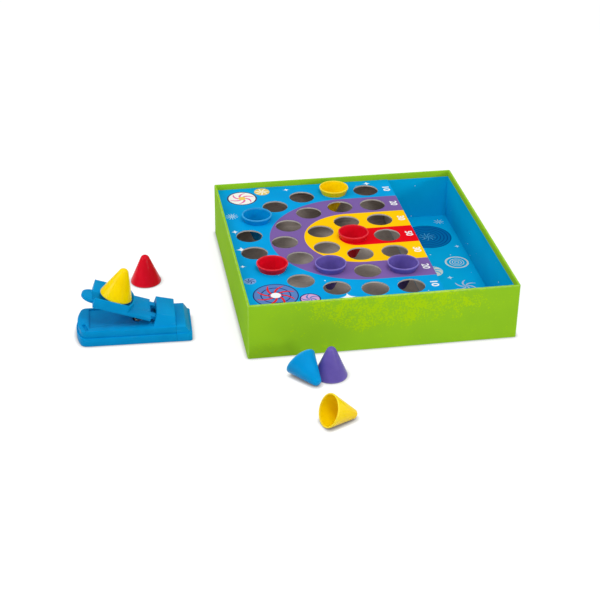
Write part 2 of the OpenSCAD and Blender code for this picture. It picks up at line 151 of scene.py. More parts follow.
table_paint = bpy.data.materials.new("white_table")
table_paint.use_nodes = True
table_tree = table_paint.node_tree
table_tree.nodes.clear()
table_rays = table_tree.nodes.new("ShaderNodeLightPath")
table_seen = calc(
    table_tree, "MAXIMUM", table_rays.outputs["Is Camera Ray"], table_rays.outputs["Is Glossy Ray"]
)
table_seen = calc(table_tree, "MAXIMUM", table_seen, table_rays.outputs["Is Transmission Ray"])
table_lit = wire(table_tree, "ShaderNodeBsdfDiffuse", {"Color": (0.62, 0.62, 0.62, 1)})
table_shown = wire(table_tree, "ShaderNodeBsdfDiffuse", {"Color": (0.27, 0.27, 0.27, 1)})
# The table's glow dims by ambient occlusion close to what stands on it: a painted contact shadow.
table_near = wire(table_tree, "ShaderNodeAmbientOcclusion", {"Distance": 0.0045}, samples=8)
table_shade = calc(table_tree, "POWER", table_near.outputs["AO"], 1.3)
table_shade = calc(table_tree, "MULTIPLY", table_shade, 0.8)
table_glow = wire(table_tree, "ShaderNodeEmission", {"Color": (1, 1, 1, 1), "Strength": table_shade})
table_sum = wire(table_tree, "ShaderNodeAddShader", {0: table_shown.outputs[0], 1: table_glow.outputs[0]})
table_mix = wire(
    table_tree, "ShaderNodeMixShader", {0: table_seen, 1: table_lit.outputs[0], 2: table_sum.outputs[0]}
)
wire(table_tree, "ShaderNodeOutputMaterial", {"Surface": table_mix.outputs[0]})
bpy.ops.object.select_all(action="DESELECT")
bpy.ops.mesh.primitive_plane_add(size=12, location=(0, 0, -0.0001))
table = bpy.context.object
table.name = "white_table"
table.data.materials.append(table_paint)

# Box, greyboard tray
# The box is folded and glued from 1.8 mm grey recycled board. The board shows only
# inside, where no printed paper covers it.


def start_group(name, inputs, outputs):
    """A new shader node group with named sockets."""
    tree = bpy.data.node_groups.new(name, "ShaderNodeTree")
    for socket, kind in inputs.items():
        tree.interface.new_socket(name=socket, in_out="INPUT", socket_type=kind)
    for socket, kind in outputs.items():
        tree.interface.new_socket(name=socket, in_out="OUTPUT", socket_type=kind)
    return tree, tree.nodes.new("NodeGroupInput").outputs


def end_group(tree, feeds):
    """Joins a group's results to its outputs."""
    wire(tree, "NodeGroupOutput", feeds)


def use_group(tree, group, feeds):
    """Places a group in a material and returns its outputs."""
    return wire(tree, "ShaderNodeGroup", feeds, node_tree=group).outputs


def blend(tree, share, first, second, how="MIX"):
    """Mixes two colours by a share."""
    feeds = {0: share, 6: first, 7: second}
    made = wire(tree, "ShaderNodeMix", feeds, data_type="RGBA", blend_type=how)
    return made.outputs[2]


def start_finish(name, **shader_values):
    """A new material with a Principled shader, and the point that its patterns read."""
    paint = bpy.data.materials.new(name)
    paint.use_nodes = True
    tree = paint.node_tree
    tree.nodes.clear()
    shader = wire(tree, "ShaderNodeBsdfPrincipled", shader_values)
    wire(tree, "ShaderNodeOutputMaterial", {"Surface": shader.outputs[0]})
    point = tree.nodes.new("ShaderNodeTexCoord").outputs["Object"]
    return paint, tree, shader, point


def raise_surface(tree, shader, height, distance, strength=1.0):
    """Feeds a height to the shader as fine relief."""
    feeds = {"Height": height, "Distance": distance, "Strength": strength}
    bump = wire(tree, "ShaderNodeBump", feeds)
    tree.links.new(bump.outputs[0], shader.inputs["Normal"])


def dress(piece, paint):
    """Gives a piece one material."""
    piece.data.materials.clear()
    piece.data.materials.append(paint)


card_fibres, card_in = start_group(
    "card_fibres", {"Point": "NodeSocketVector"}, {"Shade": "NodeSocketFloat", "Height": "NodeSocketFloat"}
)
card_long = wire(
    card_fibres, "ShaderNodeMapping", {"Vector": card_in["Point"], "Scale": (260, 900, 900)}
)
card_strand = wire(
    card_fibres, "ShaderNodeTexNoise", {"Vector": card_long.outputs[0], "Scale": 1.0, "Detail": 4.0}
)
card_cloud = wire(
    card_fibres, "ShaderNodeTexNoise", {"Vector": card_in["Point"], "Scale": 45.0, "Detail": 3.0}
)
card_fleck = wire(card_fibres, "ShaderNodeTexVoronoi", {"Vector": card_in["Point"], "Scale": 420.0})
card_dark = calc(card_fibres, "LESS_THAN", card_fleck.outputs["Distance"], 0.16)
card_sum = calc(card_fibres, "MULTIPLY_ADD", card_strand.outputs[0], 0.7, card_cloud.outputs[0])
card_sum = calc(card_fibres, "MULTIPLY_ADD", card_dark, -0.25, card_sum)
end_group(card_fibres, {"Shade": card_sum, "Height": card_strand.outputs[0]})

greyboard, board_tree, board_shader, board_point = start_finish(
    "greyboard", Roughness=0.92, **{"Specular IOR Level": 0.25}
)
board_grain = use_group(board_tree, card_fibres, {"Point": board_point})
board_shade = wire(
    board_tree, "ShaderNodeMapRange", {"Value": board_grain["Shade"], "From Min": 0.45, "From Max": 1.2}
)
board_colour = blend(board_tree, board_shade.outputs[0], ink(154, 144, 138), ink(198, 188, 181))
board_tree.links.new(board_colour, board_shader.inputs["Base Color"])
raise_surface(board_tree, board_shader, board_grain["Height"], 0.00008, 0.6)
dress(nodes["box_board"], greyboard)

# Box, printed wrap
# One sheet of coated paper, printed green, covers the four sides, is folded over the
# rim and turned down inside as a band. A paler ink along its folds is a painted highlight, and it also
# stands for rubbing.
box_side = 0.270
box_high = 0.059
wrap_fold = 0.0024
wrap_band = 0.007
wrap_thick = 0.00029
wrap_half = box_side / 2
rim_outer = wrap_half - 0.0015
rim_inner = wrap_half - wrap_fold + 0.0001
corner_round = 0.0016


def take(piece):
    """Selects a piece alone and makes it the active one."""
    bpy.ops.object.select_all(action="DESELECT")
    bpy.context.view_layer.objects.active = piece
    piece.select_set(True)


def edit(piece):
    """Opens a piece alone in edit mode with nothing selected."""
    take(piece)
    bpy.ops.object.mode_set(mode="EDIT")
    bpy.ops.mesh.select_mode(type="FACE")
    bpy.ops.mesh.select_all(action="DESELECT")


def pick(piece, kind, test):
    """Selects the faces that pass a test on middle and normal, or the edges on middle, run and bend."""
    bpy.ops.mesh.select_mode(type=kind)
    bpy.ops.mesh.select_all(action="DESELECT")
    shape = bmesh.from_edit_mesh(piece.data)
    if kind == "FACE":
        for face in shape.faces:
            if test(face.calc_center_median(), face.normal):
                face.select_set(True)
    else:
        for edge in shape.edges:
            ends = edge.verts[0].co, edge.verts[1].co
            bend = edge.calc_face_angle(0)
            if test((ends[0] + ends[1]) / 2, (ends[1] - ends[0]).normalized(), bend):
                edge.select_set(True)
    shape.select_flush_mode()
    bmesh.update_edit_mesh(piece.data)


def close_edit():
    """Leaves edit mode."""
    bpy.ops.object.mode_set(mode="OBJECT")


def apply_modifier(piece, kind, **settings):
    """Adds a modifier to a piece and applies it."""
    take(piece)
    made = piece.modifiers.new(kind.lower(), kind)
    for key, value in settings.items():
        setattr(made, key, value)
    bpy.ops.object.modifier_apply(modifier=made.name)


def settle(piece, place=Matrix.Identity(4)):
    """Puts a piece's place into its mesh and leaves its object at the origin."""
    take(piece)
    piece.matrix_world = place @ piece.matrix_world
    bpy.ops.object.transform_apply(location=True, rotation=True, scale=True)


def smooth(piece, degrees):
    """Smooth shading up to an angle."""
    take(piece)
    bpy.ops.object.shade_smooth_by_angle(angle=math.radians(degrees))


bpy.ops.object.select_all(action="DESELECT")
bpy.ops.mesh.primitive_cube_add(
    size=1, location=(0, 0, box_high / 2), scale=(box_side, box_side, box_high)
)
wrap = bpy.context.object
wrap.name = "printed_wrap"
settle(wrap)
edit(wrap)
pick(wrap, "FACE", lambda middle, normal: normal.z < -0.9)
bpy.ops.mesh.delete(type="FACE")
pick(wrap, "FACE", lambda middle, normal: normal.z > 0.9)
bpy.ops.mesh.inset(thickness=wrap_fold, depth=0)
bpy.ops.mesh.extrude_region_move(TRANSFORM_OT_translate={"value": (0, 0, -wrap_band)})
bpy.ops.mesh.delete(type="FACE")
pick(wrap, "EDGE", lambda middle, along, bend: abs(along.z) > 0.9 and abs(middle.x) > rim_outer)
bpy.ops.mesh.bevel(offset=corner_round, segments=5, affect="EDGES")
pick(
    wrap,
    "EDGE",
    lambda middle, along, bend: middle.z > box_high - 1e-6
    and bend > 1
    and max(abs(middle.x), abs(middle.y)) > rim_outer,
)
bpy.ops.mesh.bevel(offset=0.0005, segments=3, affect="EDGES")
pick(
    wrap,
    "EDGE",
    lambda middle, along, bend: middle.z > box_high - 1e-6
    and bend > 1
    and max(abs(middle.x), abs(middle.y)) < rim_inner,
)
bpy.ops.mesh.bevel(offset=0.0003, segments=2, affect="EDGES")
close_edit()
apply_modifier(wrap, "SOLIDIFY", thickness=wrap_thick, offset=-1)
smooth(wrap, 35)

paper_grain, grain_in = start_group(
    "paper_grain", {"Point": "NodeSocketVector"}, {"Shade": "NodeSocketFloat", "Height": "NodeSocketFloat"}
)
grain_fine = wire(
    paper_grain, "ShaderNodeTexNoise", {"Vector": grain_in["Point"], "Scale": 1500.0, "Detail": 3.0}
)
grain_wave = wire(
    paper_grain, "ShaderNodeTexNoise", {"Vector": grain_in["Point"], "Scale": 28.0, "Detail": 2.0}
)
grain_height = calc(paper_grain, "MULTIPLY_ADD", grain_wave.outputs[0], 6.0, grain_fine.outputs[0])
grain_shade = calc(paper_grain, "MULTIPLY_ADD", grain_fine.outputs[0], 0.35, grain_wave.outputs[0])
end_group(paper_grain, {"Shade": grain_shade, "Height": grain_height})

# Mask along the box's folded edges and corners, broken up by noise: a painted highlight on the folds,
# together with rubbed wear.
fold_rub_and_sheen, rub_sheen_in = start_group(
    "fold_rub_and_sheen",
    {
        "Point": "NodeSocketVector",
        "Half": "NodeSocketFloat",
        "Top": "NodeSocketFloat",
        "Width": "NodeSocketFloat",
    },
    {"Mask": "NodeSocketFloat"},
)
rub_sheen_apart = wire(fold_rub_and_sheen, "ShaderNodeSeparateXYZ", {0: rub_sheen_in["Point"]}).outputs
rub_sheen_shares = []
for rub_sheen_axis, rub_sheen_limit in ((0, "Half"), (1, "Half"), (2, "Top")):
    rub_sheen_reach = calc(fold_rub_and_sheen, "ABSOLUTE", rub_sheen_apart[rub_sheen_axis])
    rub_sheen_left = calc(fold_rub_and_sheen, "SUBTRACT", rub_sheen_in[rub_sheen_limit], rub_sheen_reach)
    rub_sheen_left = calc(fold_rub_and_sheen, "DIVIDE", rub_sheen_left, rub_sheen_in["Width"])
    rub_sheen_shares.append(calc(fold_rub_and_sheen, "MAXIMUM", calc(fold_rub_and_sheen, "SUBTRACT", 1.0, rub_sheen_left), 0.0))
rub_sheen_corner = calc(fold_rub_and_sheen, "MULTIPLY", rub_sheen_shares[0], rub_sheen_shares[1])
rub_sheen_rim = calc(fold_rub_and_sheen, "MAXIMUM", rub_sheen_shares[0], rub_sheen_shares[1])
rub_sheen_rim = calc(fold_rub_and_sheen, "MULTIPLY", rub_sheen_rim, rub_sheen_shares[2])
rub_sheen_noise = wire(
    fold_rub_and_sheen,
    "ShaderNodeTexNoise",
    {"Vector": rub_sheen_in["Point"], "Scale": 140.0, "Detail": 5.0, "Roughness": 0.7},
)
rub_sheen_all = calc(fold_rub_and_sheen, "MAXIMUM", rub_sheen_corner, rub_sheen_rim)
rub_sheen_broken = wire(
    fold_rub_and_sheen,
    "ShaderNodeMapRange",
    {"Value": rub_sheen_noise.outputs[0], "From Min": 0.38, "From Max": 0.66},
).outputs[0]
end_group(fold_rub_and_sheen, {"Mask": calc(fold_rub_and_sheen, "MULTIPLY", rub_sheen_all, rub_sheen_broken)})

green_print, green_tree, green_shader, green_point = start_finish(
    "green_print", Roughness=0.6, **{"Specular IOR Level": 0.015}
)
green_grain = use_group(green_tree, paper_grain, {"Point": green_point})
green_rub_sheen = use_group(
    green_tree,
    fold_rub_and_sheen,
    {"Point": green_point, "Half": wrap_half, "Top": box_high, "Width": corner_round},
)
green_tint = wire(
    green_tree, "ShaderNodeMapRange", {"Value": green_grain["Shade"], "From Min": 0.45, "From Max": 0.9}
)
green_colour = blend(green_tree, green_tint.outputs[0], ink(142, 195, 38), ink(148, 200, 36))
patch_scale = (9, 9, 32)
patch_shift = (-0.07, 1.215, -1.6)
green_patch = wire(
    green_tree,
    "ShaderNodeMapping",
    {"Vector": green_point, "Location": patch_shift, "Scale": patch_scale},
)
green_near = wire(
    green_tree, "ShaderNodeVectorMath", {0: green_patch.outputs[0]}, operation="LENGTH"
).outputs["Value"]
green_near = wire(
    green_tree, "ShaderNodeMapRange", {"Value": green_near, "From Min": 1.05, "From Max": 0.6}
).outputs[0]
green_cloud = wire(
    green_tree,
    "ShaderNodeTexNoise",
    {"Vector": green_point, "Scale": 60.0, "Detail": 4.0, "Roughness": 0.6},
)
green_spray = wire(
    green_tree,
    "ShaderNodeTexNoise",
    {"Vector": green_point, "Scale": 640.0, "Detail": 2.0, "Roughness": 0.5},
)
green_level = calc(green_tree, "MULTIPLY_ADD", green_near, 0.34, green_cloud.outputs[0])
green_level = calc(green_tree, "MULTIPLY_ADD", green_spray.outputs[0], 1.4, green_level)
green_speck = wire(
    green_tree, "ShaderNodeMapRange", {"Value": green_level, "From Min": 1.49, "From Max": 1.57}
)
green_colour = blend(green_tree, green_speck.outputs[0], green_colour, ink(168, 210, 16))
# The folds and corners get a paler ink here: a painted highlight, together with rubbing.
green_colour = blend(
    green_tree, calc(green_tree, "MULTIPLY", green_rub_sheen["Mask"], 0.35), green_colour, ink(226, 236, 190)
)
green_tree.links.new(green_colour, green_shader.inputs["Base Color"])
green_rough = wire(
    green_tree, "ShaderNodeMapRange", {"Value": green_grain["Shade"], "To Min": 0.52, "To Max": 0.66}
)
green_tree.links.new(green_rough.outputs[0], green_shader.inputs["Roughness"])
raise_surface(green_tree, green_shader, green_grain["Height"], 0.00003, 0.5)
dress(wrap, green_print)
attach(wrap, "box")
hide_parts("box_wrap")

# Box, bottom sheet
# A square of the same green paper is glued under the box and hides the wrap's lower edge.
dress(nodes["bottom_sheet"], green_print)

# Well liner
# A blue printed sheet lies on the floor of the well beside the board and runs up its
# three walls. Discs, rings, whirls, stars and dots are printed on it.
well_blue = ink(0, 180, 230)
well_pale = ink(222, 226, 216)
well_star = ink(205, 228, 236)

whirl_print, whirl_in = start_group(
    "whirl_print",
    {
        "Point": "NodeSocketVector",
        "Middle": "NodeSocketVector",
        "Radius": "NodeSocketFloat",
        "Blades": "NodeSocketFloat",
        "Twist": "NodeSocketFloat",
        "Share": "NodeSocketFloat",
    },
    {"Mask": "NodeSocketFloat", "Disc": "NodeSocketFloat", "Rings": "NodeSocketFloat"},
)
whirl_from = wire(
    whirl_print, "ShaderNodeVectorMath", {0: whirl_in["Point"], 1: whirl_in["Middle"]}, operation="SUBTRACT"
)
whirl_xyz = wire(whirl_print, "ShaderNodeSeparateXYZ", {0: whirl_from.outputs[0]}).outputs
whirl_flat = wire(whirl_print, "ShaderNodeCombineXYZ", {0: whirl_xyz[0], 1: whirl_xyz[1]})
whirl_far = wire(
    whirl_print, "ShaderNodeVectorMath", {0: whirl_flat.outputs[0]}, operation="LENGTH"
).outputs["Value"]
whirl_far = calc(whirl_print, "DIVIDE", whirl_far, whirl_in["Radius"])
whirl_disc = calc(whirl_print, "LESS_THAN", whirl_far, 1.0)
whirl_angle = calc(whirl_print, "ARCTAN2", whirl_xyz[1], whirl_xyz[0])
whirl_angle = calc(whirl_print, "MULTIPLY", whirl_angle, whirl_in["Blades"])
whirl_angle = calc(whirl_print, "DIVIDE", whirl_angle, 2 * math.pi)
whirl_angle = calc(whirl_print, "MULTIPLY_ADD", whirl_far, whirl_in["Twist"], whirl_angle)
whirl_part = calc(whirl_print, "FRACT", calc(whirl_print, "ADD", whirl_angle, 20.0))
whirl_thin = calc(whirl_print, "SUBTRACT", 1.15, whirl_far)
whirl_thin = calc(whirl_print, "MULTIPLY", whirl_in["Share"], whirl_thin)
whirl_blade = calc(whirl_print, "LESS_THAN", whirl_part, whirl_thin)
whirl_ring = calc(whirl_print, "FRACT", calc(whirl_print, "MULTIPLY", whirl_far, whirl_in["Blades"]))
whirl_start = calc(whirl_print, "SUBTRACT", 1.0, whirl_in["Share"])
whirl_ring = calc(whirl_print, "GREATER_THAN", whirl_ring, whirl_start)
end_group(
    whirl_print,
    {
        "Mask": calc(whirl_print, "MULTIPLY", whirl_blade, whirl_disc),
        "Disc": whirl_disc,
        "Rings": calc(whirl_print, "MULTIPLY", whirl_ring, whirl_disc),
    },
)

dot_print, dot_in = start_group(
    "dot_print", {"Point": "NodeSocketVector", "Scale": "NodeSocketFloat", "Size": "NodeSocketFloat"},
    {"Mask": "NodeSocketFloat"},
)
dot_cell = wire(dot_print, "ShaderNodeTexVoronoi", {"Vector": dot_in["Point"], "Scale": dot_in["Scale"]})
dot_pick = wire(dot_print, "ShaderNodeSeparateColor", {0: dot_cell.outputs["Color"]}).outputs
dot_size = calc(dot_print, "MULTIPLY", dot_in["Size"], calc(dot_print, "ADD", dot_pick[1], 0.25))
dot_near = calc(dot_print, "LESS_THAN", dot_cell.outputs["Distance"], dot_size)
dot_some = calc(dot_print, "GREATER_THAN", dot_pick[0], 0.55)
end_group(dot_print, {"Mask": calc(dot_print, "MULTIPLY", dot_near, dot_some)})

spark_print, spark_in = start_group(
    "spark_print", {"Point": "NodeSocketVector", "Middle": "NodeSocketVector", "Radius": "NodeSocketFloat"},
    {"Mask": "NodeSocketFloat"},
)
spark_from = wire(
    spark_print, "ShaderNodeVectorMath", {0: spark_in["Point"], 1: spark_in["Middle"]}, operation="SUBTRACT"
)
spark_xyz = wire(spark_print, "ShaderNodeSeparateXYZ", {0: spark_from.outputs[0]}).outputs
spark_roots = []
for spark_axis in (0, 1):
    spark_side = calc(spark_print, "ABSOLUTE", spark_xyz[spark_axis])
    spark_side = calc(spark_print, "DIVIDE", spark_side, spark_in["Radius"])
    spark_roots.append(calc(spark_print, "POWER", spark_side, 0.5))
spark_sum = calc(spark_print, "ADD", spark_roots[0], spark_roots[1])
end_group(spark_print, {"Mask": calc(spark_print, "LESS_THAN", spark_sum, 1.0)})

well_print, well_tree, well_shader, well_point = start_finish(
    "well_print", Roughness=0.6, **{"Specular IOR Level": 0.03}
)
well_grain = use_group(well_tree, paper_grain, {"Point": well_point})
well_tint = wire(
    well_tree, "ShaderNodeMapRange", {"Value": well_grain["Shade"], "From Min": 0.45, "From Max": 0.9}
)
well_colour = blend(well_tree, well_tint.outputs[0], ink(0, 173, 224), well_blue)


def print_motifs(tree, point, colour, motifs):
    """Prints discs, rings and whirls over a colour, each from its part, middle, radius and figures."""
    for part, middle, radius, count, twist, share, motif_ink in motifs:
        feeds = {
            "Point": point,
            "Middle": middle,
            "Radius": radius,
            "Blades": count,
            "Twist": twist,
            "Share": share,
        }
        motif = use_group(tree, whirl_print, feeds)
        colour = blend(tree, motif[part], colour, motif_ink)
    return colour


def print_sparks(tree, point, colour, sparks, spark_ink):
    """Prints stars of four points over a colour, each from its middle and radius."""
    for middle, radius in sparks:
        spark = use_group(tree, spark_print, {"Point": point, "Middle": middle, "Radius": radius})
        colour = blend(tree, spark["Mask"], colour, spark_ink)
    return colour


well_motifs = (
    ("Disc", (0.099, 0.083, 0), 0.0270, 1.0, 0.0, 0.0, ink(0, 116, 176)),
    ("Rings", (0.099, 0.083, 0), 0.0270, 7.0, 0.0, 0.3, ink(0, 82, 146)),
    ("Mask", (0.099, 0.083, 0), 0.0095, 9.0, 0.6, 0.4, ink(86, 170, 210)),
    ("Rings", (0.116, 0.020, 0), 0.0130, 1.0, 0.0, 0.15, well_pale),
    ("Rings", (0.116, 0.020, 0), 0.0080, 3.0, 0.0, 0.3, well_pale),
    ("Disc", (0.085, 0.004, 0), 0.0110, 1.0, 0.0, 0.0, well_pale),
    ("Mask", (0.085, 0.004, 0), 0.0105, 7.0, 0.9, 0.6, well_blue),
    ("Mask", (0.121, 0.117, 0), 0.0065, 8.0, 0.0, 0.34, well_pale),
    ("Mask", (0.112, -0.032, 0), 0.0125, 6.0, 0.7, 0.5, ink(196, 206, 222)),
)
well_colour = print_motifs(well_tree, well_point, well_colour, well_motifs)
well_sparks = (((0.126, 0.056, 0), 0.004), ((0.072, 0.040, 0), 0.003), ((0.100, -0.012, 0), 0.0045))
well_colour = print_sparks(well_tree, well_point, well_colour, well_sparks, well_star)
well_dots = use_group(well_tree, dot_print, {"Point": well_point, "Scale": 95.0, "Size": 0.075})
well_colour = blend(well_tree, well_dots["Mask"], well_colour, well_star)
well_tree.links.new(well_colour, well_shader.inputs["Base Color"])
raise_surface(well_tree, well_shader, well_grain["Height"], 0.00003, 0.5)
dress(nodes["well_liner"], well_print)

# Target board, folded card
# The board is a punched card panel with a leg folded down on its left and right. Its
# underside and the cut edges of the holes are bare card.
pale_card, card_tree, card_shader, card_point = start_finish(
    "pale_card", Roughness=0.88, **{"Specular IOR Level": 0.25}
)
card_grain = use_group(card_tree, card_fibres, {"Point": card_point})
card_shade = wire(
    card_tree, "ShaderNodeMapRange", {"Value": card_grain["Shade"], "From Min": 0.45, "From Max": 1.2}
)
card_colour = blend(card_tree, card_shade.outputs[0], ink(184, 178, 172), ink(214, 208, 202))
card_tree.links.new(card_colour, card_shader.inputs["Base Color"])
raise_surface(card_tree, card_shader, card_grain["Height"], 0.00006, 0.5)
dress(nodes["board_insert"], pale_card)

# Target board, printed sheet
# A coated paper printed with arches of red, yellow, violet and blue round the middle
# hole is glued on the card and punched with it. Numbers stand at the open right ends.
pattern_x = -0.0047
arch_x = -0.0015
pitch = 0.0362
board_face = 0.053

board_sheet, sheet_tree, sheet_shader, sheet_point = start_finish(
    "board_sheet", Roughness=0.6, **{"Specular IOR Level": 0.03}
)
sheet_grain = use_group(sheet_tree, paper_grain, {"Point": sheet_point})
sheet_xyz = wire(sheet_tree, "ShaderNodeSeparateXYZ", {0: sheet_point}).outputs
sheet_left = calc(sheet_tree, "MAXIMUM", calc(sheet_tree, "SUBTRACT", arch_x, sheet_xyz[0]), 0.0)
sheet_flat = wire(sheet_tree, "ShaderNodeCombineXYZ", {0: sheet_left, 1: sheet_xyz[1]})
sheet_far = wire(
    sheet_tree, "ShaderNodeVectorMath", {0: sheet_flat.outputs[0]}, operation="LENGTH"
).outputs["Value"]
sheet_tint = wire(
    sheet_tree, "ShaderNodeMapRange", {"Value": sheet_grain["Shade"], "From Min": 0.45, "From Max": 0.9}
)
sheet_colour = blend(sheet_tree, sheet_tint.outputs[0], ink(0, 153, 217), ink(0, 160, 222))
sheet_dots = use_group(sheet_tree, dot_print, {"Point": sheet_point, "Scale": 85.0, "Size": 0.075})
sheet_colour = blend(sheet_tree, sheet_dots["Mask"], sheet_colour, ink(235, 243, 248))
sheet_motifs = (
    ("Disc", (-0.1075, 0.108, 0), 0.0165, 1.0, 0.0, 0.0, ink(240, 240, 232)),
    ("Rings", (-0.1075, 0.108, 0), 0.0165, 1.0, 0.0, 0.1, ink(58, 66, 104)),
    ("Mask", (-0.1075, 0.108, 0), 0.0135, 6.0, 0.9, 0.62, ink(226, 118, 168)),
    ("Disc", (-0.1075, 0.108, 0), 0.0040, 1.0, 0.0, 0.0, ink(236, 204, 92)),
    ("Disc", (-0.0835, 0.1215, 0), 0.0085, 1.0, 0.0, 0.0, ink(226, 196, 108)),
    ("Mask", (-0.0835, 0.1215, 0), 0.0080, 7.0, 0.0, 0.7, ink(250, 244, 226)),
    ("Disc", (-0.1035, -0.1080, 0), 0.0225, 1.0, 0.0, 0.0, ink(86, 124, 184)),
    ("Rings", (-0.1035, -0.1080, 0), 0.0225, 3.0, 0.0, 0.16, ink(34, 52, 112)),
    ("Mask", (-0.1035, -0.1080, 0), 0.0195, 8.0, 0.7, 0.5, ink(214, 40, 40)),
    ("Disc", (-0.1035, -0.1080, 0), 0.0050, 1.0, 0.0, 0.0, ink(238, 240, 240)),
    ("Disc", (-0.0715, -0.1195, 0), 0.0105, 1.0, 0.0, 0.0, ink(206, 158, 204)),
    ("Rings", (-0.0715, -0.1195, 0), 0.0105, 1.0, 0.0, 0.13, ink(34, 52, 112)),
    ("Mask", (-0.0715, -0.1195, 0), 0.0090, 5.0, 0.8, 0.6, ink(86, 124, 184)),
    ("Disc", (-0.1245, -0.0765, 0), 0.0062, 1.0, 0.0, 0.0, ink(120, 156, 208)),
    ("Mask", (-0.1245, -0.0765, 0), 0.0058, 6.0, 0.6, 0.55, ink(34, 52, 112)),
    ("Mask", (-0.1240, 0.0660, 0), 0.0070, 12.0, 0.0, 0.42, ink(225, 240, 248)),
)
sheet_colour = print_motifs(sheet_tree, sheet_point, sheet_colour, sheet_motifs)
sheet_sparks = (
    ((-0.1255, 0.0300, 0), 0.0045),
    ((-0.1240, -0.0100, 0), 0.0065),
    ((-0.1275, -0.0460, 0), 0.0035),
    ((-0.0345, -0.1215, 0), 0.0095),
    ((-0.0560, 0.1225, 0), 0.0040),
    ((0.0360, 0.1250, 0), 0.0050),
)
sheet_colour = print_sparks(sheet_tree, sheet_point, sheet_colour, sheet_sparks, ink(240, 246, 250))
for arch_reach, arch_ink in (
    (2.5 * pitch, ink(121, 93, 161)),
    (1.5 * pitch, ink(253, 200, 0)),
    (0.5 * pitch, ink(228, 2, 22)),
):
    arch_mask = calc(sheet_tree, "LESS_THAN", sheet_far, arch_reach)
    sheet_colour = blend(sheet_tree, arch_mask, sheet_colour, arch_ink)
sheet_shade = wire(
    sheet_tree, "ShaderNodeMapRange", {"Value": sheet_grain["Shade"], "To Min": 0.93, "To Max": 1.05}
)
sheet_colour = blend(sheet_tree, 1.0, sheet_colour, sheet_shade.outputs[0], "MULTIPLY")
sheet_tree.links.new(sheet_colour, sheet_shader.inputs["Base Color"])
raise_surface(sheet_tree, sheet_shader, sheet_grain["Height"], 0.00003, 0.5)
dress(nodes["board_print"], board_sheet)

number_ink, number_tree, number_shader, number_point = start_finish(
    "number_ink", Roughness=0.6, **{"Specular IOR Level": 0.03}
)
number_grain = use_group(number_tree, paper_grain, {"Point": number_point})
number_tint = wire(
    number_tree, "ShaderNodeMapRange", {"Value": number_grain["Shade"], "From Min": 0.45, "From Max": 0.9}
)
number_colour = blend(number_tree, number_tint.outputs[0], ink(232, 236, 238), ink(248, 249, 249))
number_tree.links.new(number_colour, number_shader.inputs["Base Color"])
raise_surface(number_tree, number_shader, number_grain["Height"], 0.00003, 0.5)
number_x = 0.0553
number_long = 0.0104
number_tall = 0.0077
number_gap = 0.00003
for row, points in ((3, "10"), (2, "20"), (1, "30"), (0, "50"), (-1, "30"), (-2, "20"), (-3, "10")):
    bpy.ops.object.select_all(action="DESELECT")
    bpy.ops.object.text_add(location=(0, 0, 0))
    number = bpy.context.object
    number.name = "number_row_" + str(row + 4)
    number.data.body = points
    number.data.align_x = "CENTER"
    number.data.align_y = "CENTER"
    number.data.size = 0.0125
    number.data.offset = 0.00035
    number.data.extrude = 0.00001
    number.data.resolution_u = 6
    bpy.ops.object.convert(target="MESH")
    number = bpy.context.object
    bpy.ops.object.origin_set(type="GEOMETRY_ORIGIN", center="BOUNDS")
    span = number.dimensions
    number.scale = (number_long / span.x, number_tall / span.y, 1)
    number.location = (0, 0, 0)
    settle(
        number,
        Matrix.Translation((number_x, row * pitch, board_face + number_gap))
        @ Matrix.Rotation(-math.pi / 2, 4, "Z"),
    )
    dress(number, number_ink)
    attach(number, "board")

# Catapult base: lower tray, upper shell and end cap
# Three mouldings of blue plastic. The shell stands on the tray with a small step and is
# screwed to it from below, and the end cap is pushed into their open right end.
moulded_skin, skin_in = start_group(
    "moulded_skin", {"Point": "NodeSocketVector"},
    {"Shade": "NodeSocketFloat", "Height": "NodeSocketFloat", "Rub": "NodeSocketFloat"},
)
skin_fine = wire(
    moulded_skin, "ShaderNodeTexNoise", {"Vector": skin_in["Point"], "Scale": 1400.0, "Detail": 2.0}
)
skin_flow = wire(
    moulded_skin, "ShaderNodeTexNoise", {"Vector": skin_in["Point"], "Scale": 55.0, "Detail": 3.0}
)
skin_long = wire(
    moulded_skin,
    "ShaderNodeMapping",
    {"Vector": skin_in["Point"], "Rotation": (0.3, 0.2, 0.9), "Scale": (40, 900, 400)},
)
skin_rub = wire(
    moulded_skin, "ShaderNodeTexNoise", {"Vector": skin_long.outputs[0], "Scale": 1.0, "Detail": 3.0}
)
skin_line = wire(
    moulded_skin, "ShaderNodeMapRange", {"Value": skin_rub.outputs[0], "From Min": 0.62, "From Max": 0.74}
)
skin_height = calc(moulded_skin, "MULTIPLY_ADD", skin_flow.outputs[0], 3.0, skin_fine.outputs[0])
skin_height = calc(moulded_skin, "MULTIPLY_ADD", skin_line.outputs[0], -0.5, skin_height)
end_group(
    moulded_skin, {"Shade": skin_flow.outputs[0], "Height": skin_height, "Rub": skin_line.outputs[0]}
)

blue_plastic, plastic_tree, plastic_shader, plastic_point = start_finish(
    "blue_plastic", **{"Specular IOR Level": 0.04}
)
plastic_skin = use_group(plastic_tree, moulded_skin, {"Point": plastic_point})
plastic_tint = wire(
    plastic_tree, "ShaderNodeMapRange", {"Value": plastic_skin["Shade"], "From Min": 0.3, "From Max": 0.7}
)
plastic_colour = blend(plastic_tree, plastic_tint.outputs[0], ink(0, 138, 199), ink(2, 147, 209))
plastic_colour = blend(
    plastic_tree,
    calc(plastic_tree, "MULTIPLY", plastic_skin["Rub"], 0.12),
    plastic_colour,
    ink(110, 190, 225),
)
plastic_tree.links.new(plastic_colour, plastic_shader.inputs["Base Color"])
plastic_rough = calc(plastic_tree, "MULTIPLY_ADD", plastic_skin["Shade"], 0.16, 0.34)
plastic_rough = calc(plastic_tree, "MULTIPLY_ADD", plastic_skin["Rub"], 0.12, plastic_rough)
plastic_tree.links.new(plastic_rough, plastic_shader.inputs["Roughness"])
raise_surface(plastic_tree, plastic_shader, plastic_skin["Height"], 0.00003, 0.6)


